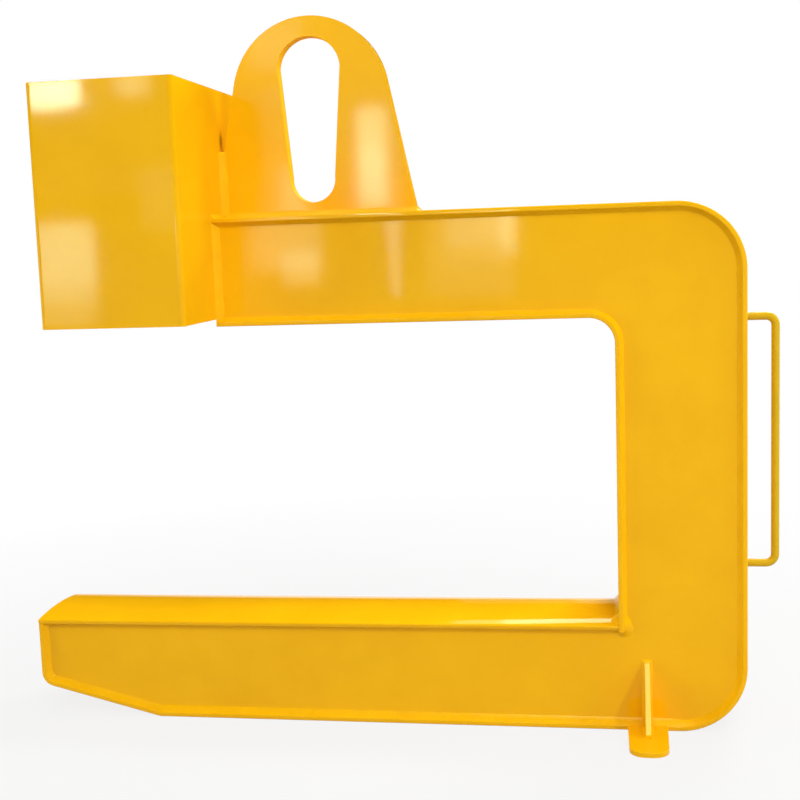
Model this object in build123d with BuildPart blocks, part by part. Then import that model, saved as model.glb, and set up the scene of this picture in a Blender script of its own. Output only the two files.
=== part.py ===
from build123d import *
import os
from math import asin, atan2, degrees, hypot, sqrt, tan

os.makedirs("parts", exist_ok=True)

# C hook: a welded box-section lifting hook that carries coils by their bore.
# Frame: origin on the underside of the bottom flange, in the centre plane, below the lifting eye.
# X runs from the nose to the mast, Y across the hook and Z up. All sizes are in millimetres.

# Hook body
throat_depth = 1210.0  # nose face to throat back face
throat_height = 588.0  # saddle crest to the underside of the upper arm, at the mast
load_line_to_throat = 595.0  # eye centre to throat back face
mast_width = 245.0
upper_arm_height = 215.0
flange_width = 200.0
flange_thickness = 10.0
web_thickness = 10.0
web_recess = 12.0  # flange edge to the web's outer face
outer_corner_radius = 130.0
throat_corner_radius = 50.0
nose_ramp_length = 258.0
nose_ramp_rise = 66.0
nose_corner_radius = 30.0
throat_flange_lap = 4.0  # throat back flange below the saddle's edge
flange_edge_bevel = 1.5  # sharp edges ground off

# Saddle: it falls a little towards the nose, where its crown flattens out
saddle_mast_height = 210.0  # underside to the side edges, at the mast
saddle_nose_height = 204.5
saddle_mast_radius = 300.0
saddle_nose_radius = 700.0
saddle_thickness = 8.0

# Lug and lifting eye
lug_thickness = 30.0
lug_height = 392.0  # above the top flange
lug_top_radius = 158.0
lug_base_cut = 19.0  # base cut off at the counterweight
lug_edge_bevel = 2.5
eye_top_radius = 64.0
eye_bottom_radius = 46.0
eye_length = 326.0
eye_base_gap = 26.0  # top flange to the eye's lowest point

# Counterweight box
counterweight_offset = 190.0  # eye centre to the box's inner face
counterweight_length = 285.0
counterweight_width = 576.0
counterweight_height = 458.0
counterweight_lift = 14.0  # box underside above the arm's underside
counterweight_plate = 10.0
counterweight_corner_radius = 8.0
ballast_thickness = 25.0
ballast_count = 4
ballast_clearance = 1.0

# Diaphragms inside the box section
diaphragm_thickness = 10.0
lug_diaphragm_offset = 150.0  # eye centre to each diaphragm under the lug

# Handle
handle_diameter = 16.0
handle_reach = 62.0  # back flange to the bar's centre line
handle_top_drop = 10.0  # arm's underside to the upper leg
handle_bottom_rise = 88.0  # saddle crest to the lower leg
handle_bend_radius = 18.0

# Feet and gussets
foot_offset = 54.0  # throat back face to the foot's centre line
foot_width = 78.0  # at the flange
foot_front_width = 74.0
foot_reach = 135.0  # beyond the flange edge
foot_thickness = 10.0
foot_corner_radius = 30.0
gusset_thickness = 12.0
gusset_height = 126.0  # above the foot
gusset_reach = 68.0  # beyond the flange edge
gusset_land = 6.0  # blunt ends of the sloping edge
gusset_weld_gap = 2.0  # snipe's clearance to the web weld

# Fillet welds, by leg length
web_weld = 8.0
lug_weld = 10.0
lug_weld_gap = 8.0  # widest gap to the counterweight that the lug weld bridges
handle_weld = 5.0
gusset_weld = 5.0
weld_lip = 0.4  # blunt edge at each weld toe

# Places worked out from the sizes above
half_width = flange_width / 2
throat_x = load_line_to_throat
tip_x = throat_x - throat_depth
back_x = throat_x + mast_width
knuckle_x = tip_x + nose_ramp_length
arm_end_x = -counterweight_offset
web_outer_y = half_width - web_recess
web_inner_y = web_outer_y - web_thickness
foot_x = throat_x + foot_offset
saddle_edge_y = half_width * (1 - saddle_thickness / saddle_mast_radius)  # lower corner at the mast


def crown_axis_z(crown_radius, side_height):
    # height of the crown's axis; its arc passes through the saddle's side edges
    return side_height - sqrt(crown_radius**2 - half_width**2)


# Ends of the saddle: place, crown radius and height of the crown's axis
nose_axis_z = crown_axis_z(saddle_nose_radius, saddle_nose_height)
mast_axis_z = crown_axis_z(saddle_mast_radius, saddle_mast_height)
saddle_ends = (
    (tip_x, saddle_nose_radius, nose_axis_z),
    (throat_x, saddle_mast_radius, mast_axis_z),
)


def under_saddle_z(crown_radius, axis_z, y):
    # height of the saddle's underside at a distance from the centre plane
    return axis_z + sqrt((crown_radius - saddle_thickness) ** 2 - y**2)


saddle_crest_z = mast_axis_z + saddle_mast_radius
throat_flange_end_z = under_saddle_z(saddle_mast_radius, mast_axis_z, saddle_edge_y) - throat_flange_lap
arm_bottom_z = saddle_crest_z + throat_height
arm_top_z = arm_bottom_z + upper_arm_height


def save(piece, name):
    piece.part.label = name
    export_step(piece.part, f"parts/{name}.step")


def box_profile(left, low, right, high, mode=Mode.ADD):
    # rectangle from its lower left to its upper right corner
    with Locations(((left + right) / 2, (low + high) / 2)):
        Rectangle(right - left, high - low, mode=mode)


def bevel_side_edges(piece):
    # long edges on both sides of a flange; its butt ends stay sharp
    across = piece.edges().group_by(Axis.Y)
    sides = across[0] + across[-1]
    chamfer([edge for edge in sides if edge.length > 2 * flange_thickness], flange_edge_bevel)


def hook_outline(nose_line, mast_line):
    # outside of the flanges, with the lower arm cut at the given heights of its two ends
    corners = {
        (back_x, arm_top_z): outer_corner_radius,
        (back_x, 0): outer_corner_radius,
        (tip_x, nose_ramp_rise): nose_corner_radius,
        (throat_x, arm_bottom_z): throat_corner_radius,
    }
    with BuildSketch() as outline:
        with BuildLine():
            Polyline(
                (arm_end_x - flange_thickness, arm_top_z),
                (back_x, arm_top_z),
                (back_x, 0),
                (knuckle_x, 0),
                (tip_x, nose_ramp_rise),
                (tip_x, nose_line),
                (throat_x, mast_line),
                (throat_x, arm_bottom_z),
                (arm_end_x - flange_thickness, arm_bottom_z),
                close=True,
            )
        make_face()
        for corner, radius in corners.items():
            fillet(outline.vertices().sort_by_distance(Vector(*corner))[0], radius)
    return outline.sketch


def web_profile(nose_line, mast_line):
    # inside of the flanges, notched round the lower end of the throat back flange
    with BuildSketch() as profile:
        add(hook_outline(nose_line + flange_thickness, mast_line + flange_thickness))
        offset(amount=-flange_thickness, kind=Kind.INTERSECTION)
        box_profile(
            throat_x,
            throat_flange_end_z,
            throat_x + flange_thickness,
            saddle_crest_z,
            mode=Mode.SUBTRACT,
        )
    return profile.sketch


# Straight flanges: left, low, right and high edges in side view
straight_flanges = {
    "top_flange": (
        arm_end_x,
        arm_top_z - flange_thickness,
        back_x - outer_corner_radius,
        arm_top_z,
    ),
    "back_flange": (
        back_x - flange_thickness,
        outer_corner_radius,
        back_x,
        arm_top_z - outer_corner_radius,
    ),
    "bottom_flange": (
        knuckle_x,
        0,
        back_x - outer_corner_radius,
        flange_thickness,
    ),
    "throat_top_flange": (
        arm_end_x,
        arm_bottom_z,
        throat_x - throat_corner_radius,
        arm_bottom_z + flange_thickness,
    ),
    "throat_back_flange": (
        throat_x,
        throat_flange_end_z,
        throat_x + flange_thickness,
        arm_bottom_z - throat_corner_radius,
    ),
}
for name, limits in straight_flanges.items():
    with BuildPart() as straight_flange:
        with BuildSketch(Plane.XZ):
            box_profile(*limits)
        extrude(amount=half_width, both=True)
        bevel_side_edges(straight_flange)
    save(straight_flange, name)

# Bent flanges: the strip round the outline, cut out of side view at its butt joints
with BuildSketch() as flange_strip:
    add(hook_outline(saddle_crest_z + flange_thickness, saddle_crest_z + flange_thickness))
    offset(amount=-flange_thickness, kind=Kind.INTERSECTION, mode=Mode.SUBTRACT)

bent_flanges = {
    "upper_corner_flange": (
        back_x - outer_corner_radius,
        arm_top_z - outer_corner_radius,
        back_x,
        arm_top_z,
    ),
    "lower_corner_flange": (
        back_x - outer_corner_radius,
        0,
        back_x,
        outer_corner_radius,
    ),
    "throat_corner_flange": (
        throat_x - throat_corner_radius,
        arm_bottom_z - throat_corner_radius,
        throat_x + flange_thickness,
        arm_bottom_z + flange_thickness,
    ),
}
for name, limits in bent_flanges.items():
    with BuildPart() as bent_flange:
        with BuildSketch(Plane.XZ):
            add(flange_strip.sketch)
            box_profile(*limits, mode=Mode.INTERSECT)
        extrude(amount=half_width, both=True)
        bevel_side_edges(bent_flange)
    save(bent_flange, name)

# Saddle: crowned plate from the nose to the throat back flange, its side edges square to the crown
with BuildPart() as saddle_plate:
    for end_x, crown_radius, axis_z in saddle_ends:
        wedge_z = axis_z + 2 * sqrt(crown_radius**2 - half_width**2)
        with BuildSketch(Plane.YZ.offset(end_x)):
            with Locations((0, axis_z)):
                Circle(crown_radius)
                Circle(crown_radius - saddle_thickness, mode=Mode.SUBTRACT)
            with BuildLine():
                Polyline((0, axis_z), (flange_width, wedge_z), (-flange_width, wedge_z), close=True)
            make_face(mode=Mode.INTERSECT)
    loft(ruled=True)
    bevel_side_edges(saddle_plate)
save(saddle_plate, "saddle_plate")

# Space that the saddle takes, and all above it: the pieces below are cut to its underside
with BuildPart() as saddle_space:
    for end_x, crown_radius, axis_z in saddle_ends:
        with BuildSketch(Plane.YZ.offset(end_x)):
            box_profile(-half_width, axis_z, half_width, saddle_crest_z + flange_thickness)
            with Locations((0, axis_z)):
                Circle(crown_radius - saddle_thickness, mode=Mode.SUBTRACT)
    loft(ruled=True)

# Nose flange: ramp, bend and blunt front in one strip
with BuildPart() as nose_flange:
    with BuildSketch(Plane.XZ):
        add(flange_strip.sketch)
        box_profile(tip_x, 0, knuckle_x, saddle_crest_z, mode=Mode.INTERSECT)
    extrude(amount=half_width, both=True)
    add(saddle_space.part, mode=Mode.SUBTRACT)
    bevel_side_edges(nose_flange)
save(nose_flange, "nose_flange")

# Webs: side plates of the box section, inside the flanges
with BuildPart() as front_web:
    with BuildSketch(Plane.XZ.offset(web_inner_y)):
        add(web_profile(saddle_crest_z, saddle_crest_z))
    extrude(amount=web_thickness)
    add(saddle_space.part, mode=Mode.SUBTRACT)
save(front_web, "front_web")

with BuildPart() as rear_web:
    mirror(front_web.part, about=Plane.XZ)
save(rear_web, "rear_web")

# Lug: round top on a tapered base, cut off at the counterweight, with the lifting eye through it
lug_base_half = counterweight_offset + lug_base_cut
lug_centre_z = arm_top_z + lug_height - lug_top_radius
eye_bottom_z = arm_top_z + eye_base_gap
with BuildPart() as lug_plate:
    with BuildSketch(Plane.XZ):
        with Locations((0, lug_centre_z)):
            Circle(lug_top_radius)
        box_profile(-lug_base_half, arm_top_z, lug_base_half, arm_top_z + lug_edge_bevel)
        make_hull()
    extrude(amount=lug_thickness / 2, both=True)
    with BuildSketch(Plane.XZ):
        with Locations((0, eye_bottom_z + eye_bottom_radius)):
            Circle(eye_bottom_radius)
        with Locations((0, eye_bottom_z + eye_length - eye_top_radius)):
            Circle(eye_top_radius)
        make_hull()
    extrude(amount=lug_thickness / 2, both=True, mode=Mode.SUBTRACT)
    rims = [
        edge
        for face in lug_plate.faces().filter_by(Axis.Y)
        for edge in face.edges()
        if edge.center().Z > arm_top_z + lug_edge_bevel
    ]
    chamfer(rims, lug_edge_bevel)
    split(bisect_by=Plane.YZ.offset(arm_end_x), keep=Keep.TOP)
save(lug_plate, "lug_plate")

# Counterweight box: end plates over the sides, top and bottom plates between the four walls
box_right_x = arm_end_x
box_left_x = arm_end_x - counterweight_length
box_low_z = arm_bottom_z + counterweight_lift
box_high_z = box_low_z + counterweight_height
box_half = counterweight_width / 2
wall_half = box_half - counterweight_plate
with BuildPart() as box_front:
    with BuildSketch(Plane.XZ.offset(wall_half)):
        box_profile(box_left_x, box_low_z, box_right_x, box_high_z)
    extrude(amount=counterweight_plate)
    corners = box_front.edges().filter_by(Axis.Z).group_by(Axis.Y)[0]
    fillet(corners, counterweight_corner_radius)
save(box_front, "counterweight_front_plate")

with BuildPart() as box_rear:
    mirror(box_front.part, about=Plane.XZ)
save(box_rear, "counterweight_rear_plate")

for name, wall_x in (
    ("counterweight_outer_plate", box_left_x),
    ("counterweight_inner_plate", box_right_x - counterweight_plate),
):
    with BuildPart() as box_side:
        with BuildSketch(Plane.YZ.offset(wall_x)):
            box_profile(-wall_half, box_low_z, wall_half, box_high_z)
        extrude(amount=counterweight_plate)
    save(box_side, name)

for name, plate_z in (
    ("counterweight_bottom_plate", box_low_z),
    ("counterweight_top_plate", box_high_z - counterweight_plate),
):
    with BuildPart() as box_lid:
        with BuildSketch(Plane.XY.offset(plate_z)):
            box_profile(
                box_left_x + counterweight_plate,
                -wall_half,
                box_right_x - counterweight_plate,
                wall_half,
            )
        extrude(amount=counterweight_plate)
    save(box_lid, name)

# Ballast slabs stacked on the box's floor
ballast_margin = counterweight_plate + ballast_clearance
for index in range(ballast_count):
    with BuildPart() as ballast_slab:
        with BuildSketch(Plane.XY.offset(box_low_z + counterweight_plate + index * ballast_thickness)):
            box_profile(
                box_left_x + ballast_margin,
                -box_half + ballast_margin,
                box_right_x - ballast_margin,
                box_half - ballast_margin,
            )
        extrude(amount=ballast_thickness)
    save(ballast_slab, f"ballast_slab_{index + 1}")

# Diaphragms across the inside of the box section
for name, centre_x in (
    ("lug_diaphragm_left", -lug_diaphragm_offset),
    ("lug_diaphragm_right", lug_diaphragm_offset),
):
    with BuildPart() as lug_diaphragm:
        with BuildSketch(Plane.YZ.offset(centre_x)):
            box_profile(
                -web_inner_y,
                arm_bottom_z + flange_thickness,
                web_inner_y,
                arm_top_z - flange_thickness,
            )
        extrude(amount=diaphragm_thickness / 2, both=True)
    save(lug_diaphragm, name)

for name, low_z in (
    ("mast_diaphragm_lower", throat_flange_end_z),
    ("mast_diaphragm_upper", arm_bottom_z - throat_corner_radius - diaphragm_thickness),
):
    with BuildPart() as mast_diaphragm:
        with BuildSketch(Plane.XY.offset(low_z)):
            box_profile(
                throat_x + flange_thickness,
                -web_inner_y,
                back_x - flange_thickness,
                web_inner_y,
            )
        extrude(amount=diaphragm_thickness)
    save(mast_diaphragm, name)

# Handle: round bar bent to a bracket, its ends on the back flange
handle_low_z = saddle_crest_z + handle_bottom_rise
handle_high_z = arm_bottom_z - handle_top_drop
handle_x = back_x + handle_reach
with BuildPart() as handle:
    with BuildLine(Plane.XZ) as handle_path:
        FilletPolyline(
            (back_x, handle_low_z),
            (handle_x, handle_low_z),
            (handle_x, handle_high_z),
            (back_x, handle_high_z),
            radius=handle_bend_radius,
        )
    with BuildSketch(Plane.YZ.offset(back_x)):
        with Locations((0, handle_low_z)):
            Circle(handle_diameter / 2)
    sweep(path=handle_path.line)
save(handle, "handle")

# Feet: flat bars butted against the bottom flange, with round front corners
foot_end_y = half_width + foot_reach
with BuildPart() as front_foot:
    with BuildSketch(Plane.XY) as foot_profile:
        with BuildLine():
            Polyline(
                (foot_x - foot_width / 2, -half_width),
                (foot_x + foot_width / 2, -half_width),
                (foot_x + foot_front_width / 2, -foot_end_y),
                (foot_x - foot_front_width / 2, -foot_end_y),
                close=True,
            )
        make_face()
        fillet(foot_profile.vertices().group_by(Axis.Y)[0], foot_corner_radius)
    extrude(amount=foot_thickness)
    chamfer(front_foot.faces().sort_by(Axis.Z)[-1].edges().group_by(Axis.Y)[:-1], flange_edge_bevel)
save(front_foot, "front_foot")

with BuildPart() as rear_foot:
    mirror(front_foot.part, about=Plane.XZ)
save(rear_foot, "rear_foot")

# Gussets: upright triangles on the feet, sniped over the web weld
snipe = web_weld + gusset_weld_gap
gusset_end_y = half_width + gusset_reach
gusset_top_z = foot_thickness + gusset_height
with BuildPart() as front_gusset:
    with BuildSketch(Plane.YZ.offset(foot_x)):
        with BuildLine():
            Polyline(
                (-web_outer_y, flange_thickness + snipe),
                (-web_outer_y, gusset_top_z),
                (-web_outer_y - gusset_land, gusset_top_z),
                (-gusset_end_y, foot_thickness + gusset_land),
                (-gusset_end_y, foot_thickness),
                (-web_outer_y - snipe, foot_thickness),
                close=True,
            )
        make_face()
    extrude(amount=gusset_thickness / 2, both=True)
save(front_gusset, "front_foot_gusset")

with BuildPart() as rear_gusset:
    mirror(front_gusset.part, about=Plane.XZ)
save(rear_gusset, "rear_foot_gusset")

# Web welds: one fillet all round the inside of the flanges, and down the counterweight's face
weld_lines = [under_saddle_z(radius, axis_z, web_outer_y) for _, radius, axis_z in saddle_ends]
with BuildSketch() as weld_root:
    add(web_profile(*weld_lines))
with BuildSketch() as weld_toe:
    add(weld_root.sketch)
    offset(amount=-web_weld, kind=Kind.INTERSECTION)
with BuildSketch() as weld_edge:
    add(weld_root.sketch)
    offset(amount=-weld_lip, kind=Kind.INTERSECTION)
with BuildPart() as front_web_weld:
    with BuildSketch(Plane.XZ.offset(web_outer_y)):
        add(weld_root.sketch)
    extrude(amount=web_weld)
    with BuildSketch(Plane.XZ.offset(web_outer_y)):
        add(weld_toe.sketch)
    with BuildSketch(Plane.XZ.offset(web_outer_y + web_weld)):
        add(weld_edge.sketch)
    loft(ruled=True, mode=Mode.SUBTRACT)
    add(saddle_space.part, mode=Mode.SUBTRACT)
save(front_web_weld, "front_web_weld")

with BuildPart() as rear_web_weld:
    mirror(front_web_weld.part, about=Plane.XZ)
save(rear_web_weld, "rear_web_weld")

# Lug welds: round the foot of the lug, and up the counterweight's face until the lug's edge leaves it
lug_edge_foot_z = arm_top_z + lug_edge_bevel
lug_edge_rise = lug_centre_z - lug_edge_foot_z
lug_edge_reach = hypot(lug_base_half, lug_edge_rise)
lug_edge_angle = atan2(lug_edge_rise, lug_base_half) + asin(lug_top_radius / lug_edge_reach)
lug_weld_top_z = lug_edge_foot_z + (lug_base_cut + lug_weld_gap) * tan(lug_edge_angle)
with BuildPart() as lug_welds:
    with BuildSketch(Plane.XY.offset(arm_top_z)):
        box_profile(
            arm_end_x,
            -lug_thickness / 2 - lug_weld,
            lug_base_half + lug_weld,
            lug_thickness / 2 + lug_weld,
        )
    with BuildSketch(Plane.XY.offset(arm_top_z + lug_weld)):
        box_profile(
            arm_end_x,
            -lug_thickness / 2 - weld_lip,
            lug_base_half + weld_lip,
            lug_thickness / 2 + weld_lip,
        )
    loft(ruled=True)
    with BuildSketch(Plane.XY.offset(arm_top_z)):
        with BuildLine():
            Polyline(
                (arm_end_x, -lug_thickness / 2 - lug_weld),
                (arm_end_x + lug_weld, -lug_thickness / 2 - weld_lip),
                (arm_end_x + lug_weld, lug_thickness / 2 + weld_lip),
                (arm_end_x, lug_thickness / 2 + lug_weld),
                close=True,
            )
        make_face()
    extrude(amount=lug_weld_top_z - arm_top_z)
    add(lug_plate.part, mode=Mode.SUBTRACT)
save(lug_welds, "lug_welds")

# Arm weld: across the top flange at the counterweight's face, on both sides of the lug
with BuildPart() as arm_weld:
    with BuildSketch(Plane.XZ):
        with BuildLine():
            Polyline(
                (arm_end_x, arm_top_z),
                (arm_end_x + web_weld, arm_top_z),
                (arm_end_x, arm_top_z + web_weld),
                close=True,
            )
        make_face()
    extrude(amount=half_width - flange_edge_bevel, both=True)
    add(lug_welds.part, mode=Mode.SUBTRACT)
    add(lug_plate.part, mode=Mode.SUBTRACT)
save(arm_weld, "arm_weld")

# Saddle weld: fillet along the crowned end of the saddle, on the throat back flange
saddle_half_angle = degrees(asin((half_width - flange_edge_bevel) / (saddle_mast_radius + web_weld)))
crown_axis = Axis((0, 0, mast_axis_z), (1, 0, 0))
with BuildPart() as saddle_weld:
    with BuildSketch(Plane.XZ):
        with BuildLine():
            Polyline(
                (throat_x, saddle_crest_z),
                (throat_x - web_weld, saddle_crest_z),
                (throat_x, saddle_crest_z + web_weld),
                close=True,
            )
        make_face()
    revolve(axis=crown_axis, revolution_arc=saddle_half_angle)
    mirror(about=Plane.XZ)
save(saddle_weld, "saddle_weld")

# Handle welds: a ring round each leg
with BuildPart() as handle_welds:
    for leg_z in (handle_low_z, handle_high_z):
        with BuildSketch(Plane.XZ):
            with BuildLine():
                Polyline(
                    (back_x, leg_z + handle_diameter / 2),
                    (back_x + handle_weld, leg_z + handle_diameter / 2),
                    (back_x, leg_z + handle_diameter / 2 + handle_weld),
                    close=True,
                )
            make_face()
        revolve(axis=Axis((back_x, 0, leg_z), (1, 0, 0)))
save(handle_welds, "handle_welds")

# Gusset welds: fillets on both sides, up the web and along the foot, and one over the gusset's top
with BuildPart() as front_gusset_welds:
    for side in (-1, 1):
        face_x = foot_x + side * gusset_thickness / 2
        toe_x = face_x + side * gusset_weld
        with BuildSketch(Plane.XY.offset(flange_thickness + snipe)):
            with BuildLine():
                Polyline(
                    (face_x, -web_outer_y),
                    (toe_x, -web_outer_y),
                    (face_x, -web_outer_y - gusset_weld),
                    close=True,
                )
            make_face()
        extrude(amount=gusset_top_z - flange_thickness - snipe)
        with BuildSketch(Plane.XZ.offset(web_outer_y + snipe)):
            with BuildLine():
                Polyline(
                    (face_x, foot_thickness),
                    (toe_x, foot_thickness),
                    (face_x, foot_thickness + gusset_weld),
                    close=True,
                )
            make_face()
        extrude(amount=gusset_end_y - web_outer_y - snipe)
    for height, leg in ((0, gusset_weld), (gusset_weld, weld_lip)):
        with BuildSketch(Plane.XY.offset(gusset_top_z + height)):
            box_profile(
                foot_x - gusset_thickness / 2 - leg,
                -web_outer_y - leg,
                foot_x + gusset_thickness / 2 + leg,
                -web_outer_y,
            )
    loft(ruled=True)
save(front_gusset_welds, "front_gusset_welds")

with BuildPart() as rear_gusset_welds:
    mirror(front_gusset_welds.part, about=Plane.XZ)
save(rear_gusset_welds, "rear_gusset_welds")
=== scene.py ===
import math
import random

import bmesh
import bpy
from mathutils import Matrix, Vector


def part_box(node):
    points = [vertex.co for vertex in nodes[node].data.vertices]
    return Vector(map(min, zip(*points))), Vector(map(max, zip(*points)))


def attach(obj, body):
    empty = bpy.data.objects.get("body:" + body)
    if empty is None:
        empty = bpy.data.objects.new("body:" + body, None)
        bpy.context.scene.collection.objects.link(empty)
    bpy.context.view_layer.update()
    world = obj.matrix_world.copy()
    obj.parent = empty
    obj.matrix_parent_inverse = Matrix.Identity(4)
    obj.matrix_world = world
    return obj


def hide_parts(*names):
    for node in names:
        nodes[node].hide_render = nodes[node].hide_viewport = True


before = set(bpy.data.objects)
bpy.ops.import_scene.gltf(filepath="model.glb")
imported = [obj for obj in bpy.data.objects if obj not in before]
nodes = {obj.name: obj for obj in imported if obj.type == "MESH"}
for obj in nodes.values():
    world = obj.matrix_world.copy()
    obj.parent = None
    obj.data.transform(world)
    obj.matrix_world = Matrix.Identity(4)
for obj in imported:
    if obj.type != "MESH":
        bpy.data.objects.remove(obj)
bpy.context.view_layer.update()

scene = bpy.context.scene
alongAxis = Vector((1, 0, 0))
acrossAxis = Vector((0, 1, 0))
upAxis = Vector((0, 0, 1))
quarterTurn = math.pi / 2
paperWhite = (1, 1, 1, 1)
print("frame loaded:", len(nodes), "nodes")


# shader helpers: every pattern reads Object coordinates, in metres

def addNode(tree, kind, inputs=(), **settings):
    node = tree.nodes.new(kind)
    for name, value in settings.items():
        setattr(node, name, value)
    for name, value in dict(inputs).items():
        if isinstance(value, bpy.types.NodeSocket):
            tree.links.new(value, node.inputs[name])
        else:
            node.inputs[name].default_value = value
    return node


def noiseOf(tree, scale, detail, roughness=0.5):
    coords = addNode(tree, "ShaderNodeTexCoord")
    inputs = {"Vector": coords.outputs["Object"], "Scale": scale, "Detail": detail, "Roughness": roughness}
    return addNode(tree, "ShaderNodeTexNoise", inputs).outputs["Fac"]


def rangeOf(tree, value, fromMin, fromMax, toMin, toMax):
    inputs = {"Value": value, "From Min": fromMin, "From Max": fromMax, "To Min": toMin, "To Max": toMax}
    return addNode(tree, "ShaderNodeMapRange", inputs).outputs["Result"]


def mathOf(tree, operation, first, second):
    return addNode(tree, "ShaderNodeMath", {0: first, 1: second}, operation=operation).outputs[0]


def vectorMathOf(tree, operation, *values):
    return addNode(tree, "ShaderNodeVectorMath", enumerate(values), operation=operation).outputs


def mixShaders(tree, share, first, second):
    inputs = {0: share, 1: first.outputs[0], 2: second.outputs[0]}
    return addNode(tree, "ShaderNodeMixShader", inputs)


def colourBlend(tree, factor, first, second):
    ramp = addNode(tree, "ShaderNodeValToRGB", {"Fac": factor})
    ramp.color_ramp.elements[0].color = (*first, 1)
    ramp.color_ramp.elements[1].color = (*second, 1)
    return ramp.outputs["Color"]


def bumpOf(tree, height, distance, normal=None):
    inputs = {"Height": height, "Distance": distance, "Strength": 1.0}
    if normal is not None:
        inputs["Normal"] = normal
    return addNode(tree, "ShaderNodeBump", inputs).outputs["Normal"]


def newMaterial(name):
    material = bpy.data.materials.new(name)
    material.use_nodes = True
    return material, material.node_tree, material.node_tree.nodes["Principled BSDF"]


# glossy amber enamel, sprayed on: cloudy film thickness, orange peel, faintly wavy plate below
platePaint = {
    "thin": (0.852, 0.436, 0.0026),
    "full": (0.892, 0.468, 0.0032),
    "cloudScale": 7.0,
    "cloudDetail": 4.0,
    "cloudGrain": 0.6,
    "cloudRange": (0.35, 0.65),
    "roughness": (0.05, 0.08),
    "hazeScale": 18.0,
    "hazeDetail": 5.0,
    "hazeGrain": 0.65,
    "hazeRange": (0.3, 0.7),
    "specular": 0.12,
    "peelScale": 520.0,
    "peelDetail": 2.0,
    "peelHeight": 0.000003,
    "waveScale": 3.2,
    "waveDetail": 1.0,
    "waveHeight": 0.0004,
}
weldPaint = dict(platePaint, thin=(0.85, 0.434, 0.0026), full=(0.90, 0.474, 0.0032), cloudScale=24.0,
                 roughness=(0.14, 0.22), waveScale=60.0, waveHeight=0.0001)

# thin dull coat on the flame-cut wall of the eye
cutPaint = dict(platePaint, roughness=(0.5, 0.65), specular=0.015, waveScale=90.0, waveHeight=0.0001)

# darker copy of the paint for the handle bar, with a rougher coat: painted shade for the thin bar's
# shading
handleShadePaint = dict(platePaint, thin=(0.56, 0.365, 0.008), full=(0.63, 0.41, 0.011), roughness=(0.12, 0.2))


def makePaint(name, look):
    material, tree, shader = newMaterial(name)
    cloud = noiseOf(tree, look["cloudScale"], look["cloudDetail"], look["cloudGrain"])
    cloud = rangeOf(tree, cloud, *look["cloudRange"], 0.0, 1.0)
    tree.links.new(colourBlend(tree, cloud, look["thin"], look["full"]), shader.inputs["Base Color"])
    haze = noiseOf(tree, look["hazeScale"], look["hazeDetail"], look["hazeGrain"])
    haze = rangeOf(tree, haze, *look["hazeRange"], *look["roughness"])
    tree.links.new(haze, shader.inputs["Roughness"])
    wave = bumpOf(tree, noiseOf(tree, look["waveScale"], look["waveDetail"]), look["waveHeight"])
    peel = bumpOf(tree, noiseOf(tree, look["peelScale"], look["peelDetail"]), look["peelHeight"], wave)
    tree.links.new(peel, shader.inputs["Normal"])
    shader.inputs["Specular IOR Level"].default_value = look["specular"]
    return material


# hot-rolled plate inside the box section: blue-grey scale with rust bloom
millSteel = {
    "scale": (0.085, 0.088, 0.096),
    "bloom": (0.19, 0.105, 0.060),
    "bloomScale": 9.0,
    "bloomDetail": 6.0,
    "bloomGrain": 0.7,
    "bloomRange": (0.5, 0.72),
    "roughness": (0.38, 0.62),
    "metallic": 0.7,
    "pitScale": 260.0,
    "pitDetail": 4.0,
    "pitDepth": 0.00005,
}


def makeSteel(name, look):
    material, tree, shader = newMaterial(name)
    bloom = noiseOf(tree, look["bloomScale"], look["bloomDetail"], look["bloomGrain"])
    bloom = rangeOf(tree, bloom, *look["bloomRange"], 0.0, 1.0)
    tree.links.new(colourBlend(tree, bloom, look["scale"], look["bloom"]), shader.inputs["Base Color"])
    tree.links.new(rangeOf(tree, bloom, 0.0, 1.0, *look["roughness"]), shader.inputs["Roughness"])
    pits = bumpOf(tree, noiseOf(tree, look["pitScale"], look["pitDetail"]), look["pitDepth"])
    tree.links.new(pits, shader.inputs["Normal"])
    shader.inputs["Metallic"].default_value = look["metallic"]
    return material


yellowPaint = makePaint("yellowPaint", platePaint)
wallPaint = makePaint("wallPaint", cutPaint)
# darker copy of the paint for the handle: painted shade
shadedHandlePaint = makePaint("shadedHandlePaint", handleShadePaint)
beadPaint = makePaint("beadPaint", weldPaint)
bareSteel = makeSteel("bareSteel", millSteel)

for nodeName in ("front_web", "rear_web"):
    nodes[nodeName].material_slots[0].material = yellowPaint
for nodeName in nodes:
    if "ballast" in nodeName or "diaphragm" in nodeName:
        nodes[nodeName].material_slots[0].material = bareSteel
print("materials made")


# mesh helpers
mergeGap = 1e-6  # vertices closer than this become one
sliverGap = 1e-7
touchGap = 1e-5  # a vertex this near to a face or an edge lies on it
sharpAngle = math.radians(40)  # edges from here on are shaded sharp
alongShare = 0.99  # share of an edge that has to run along an axis


def finishPiece(bm, name, material, slot, *replaced):
    bmesh.ops.remove_doubles(bm, verts=bm.verts, dist=mergeGap)
    bmesh.ops.dissolve_degenerate(bm, edges=bm.edges, dist=sliverGap)
    bmesh.ops.recalc_face_normals(bm, faces=bm.faces)
    for face in bm.faces:
        face.smooth = True
    for edge in bm.edges:
        edge.smooth = edge.calc_face_angle(0) < sharpAngle
    mesh = bpy.data.meshes.new(name)
    bm.to_mesh(mesh)
    bm.free()
    mesh.materials.append(material)
    piece = bpy.data.objects.new(name, mesh)
    scene.collection.objects.link(piece)
    piece.modifiers.new("evenNormals", "WEIGHTED_NORMAL").keep_sharp = True
    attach(piece, "root")
    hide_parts(*replaced)
    return piece


def finishPlate(bm, name, node, paint=yellowPaint):
    return finishPiece(bm, name, paint, "yellow_paint", node)


def pickKind(parts, kind):
    return [part for part in parts if isinstance(part, kind)]


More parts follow.
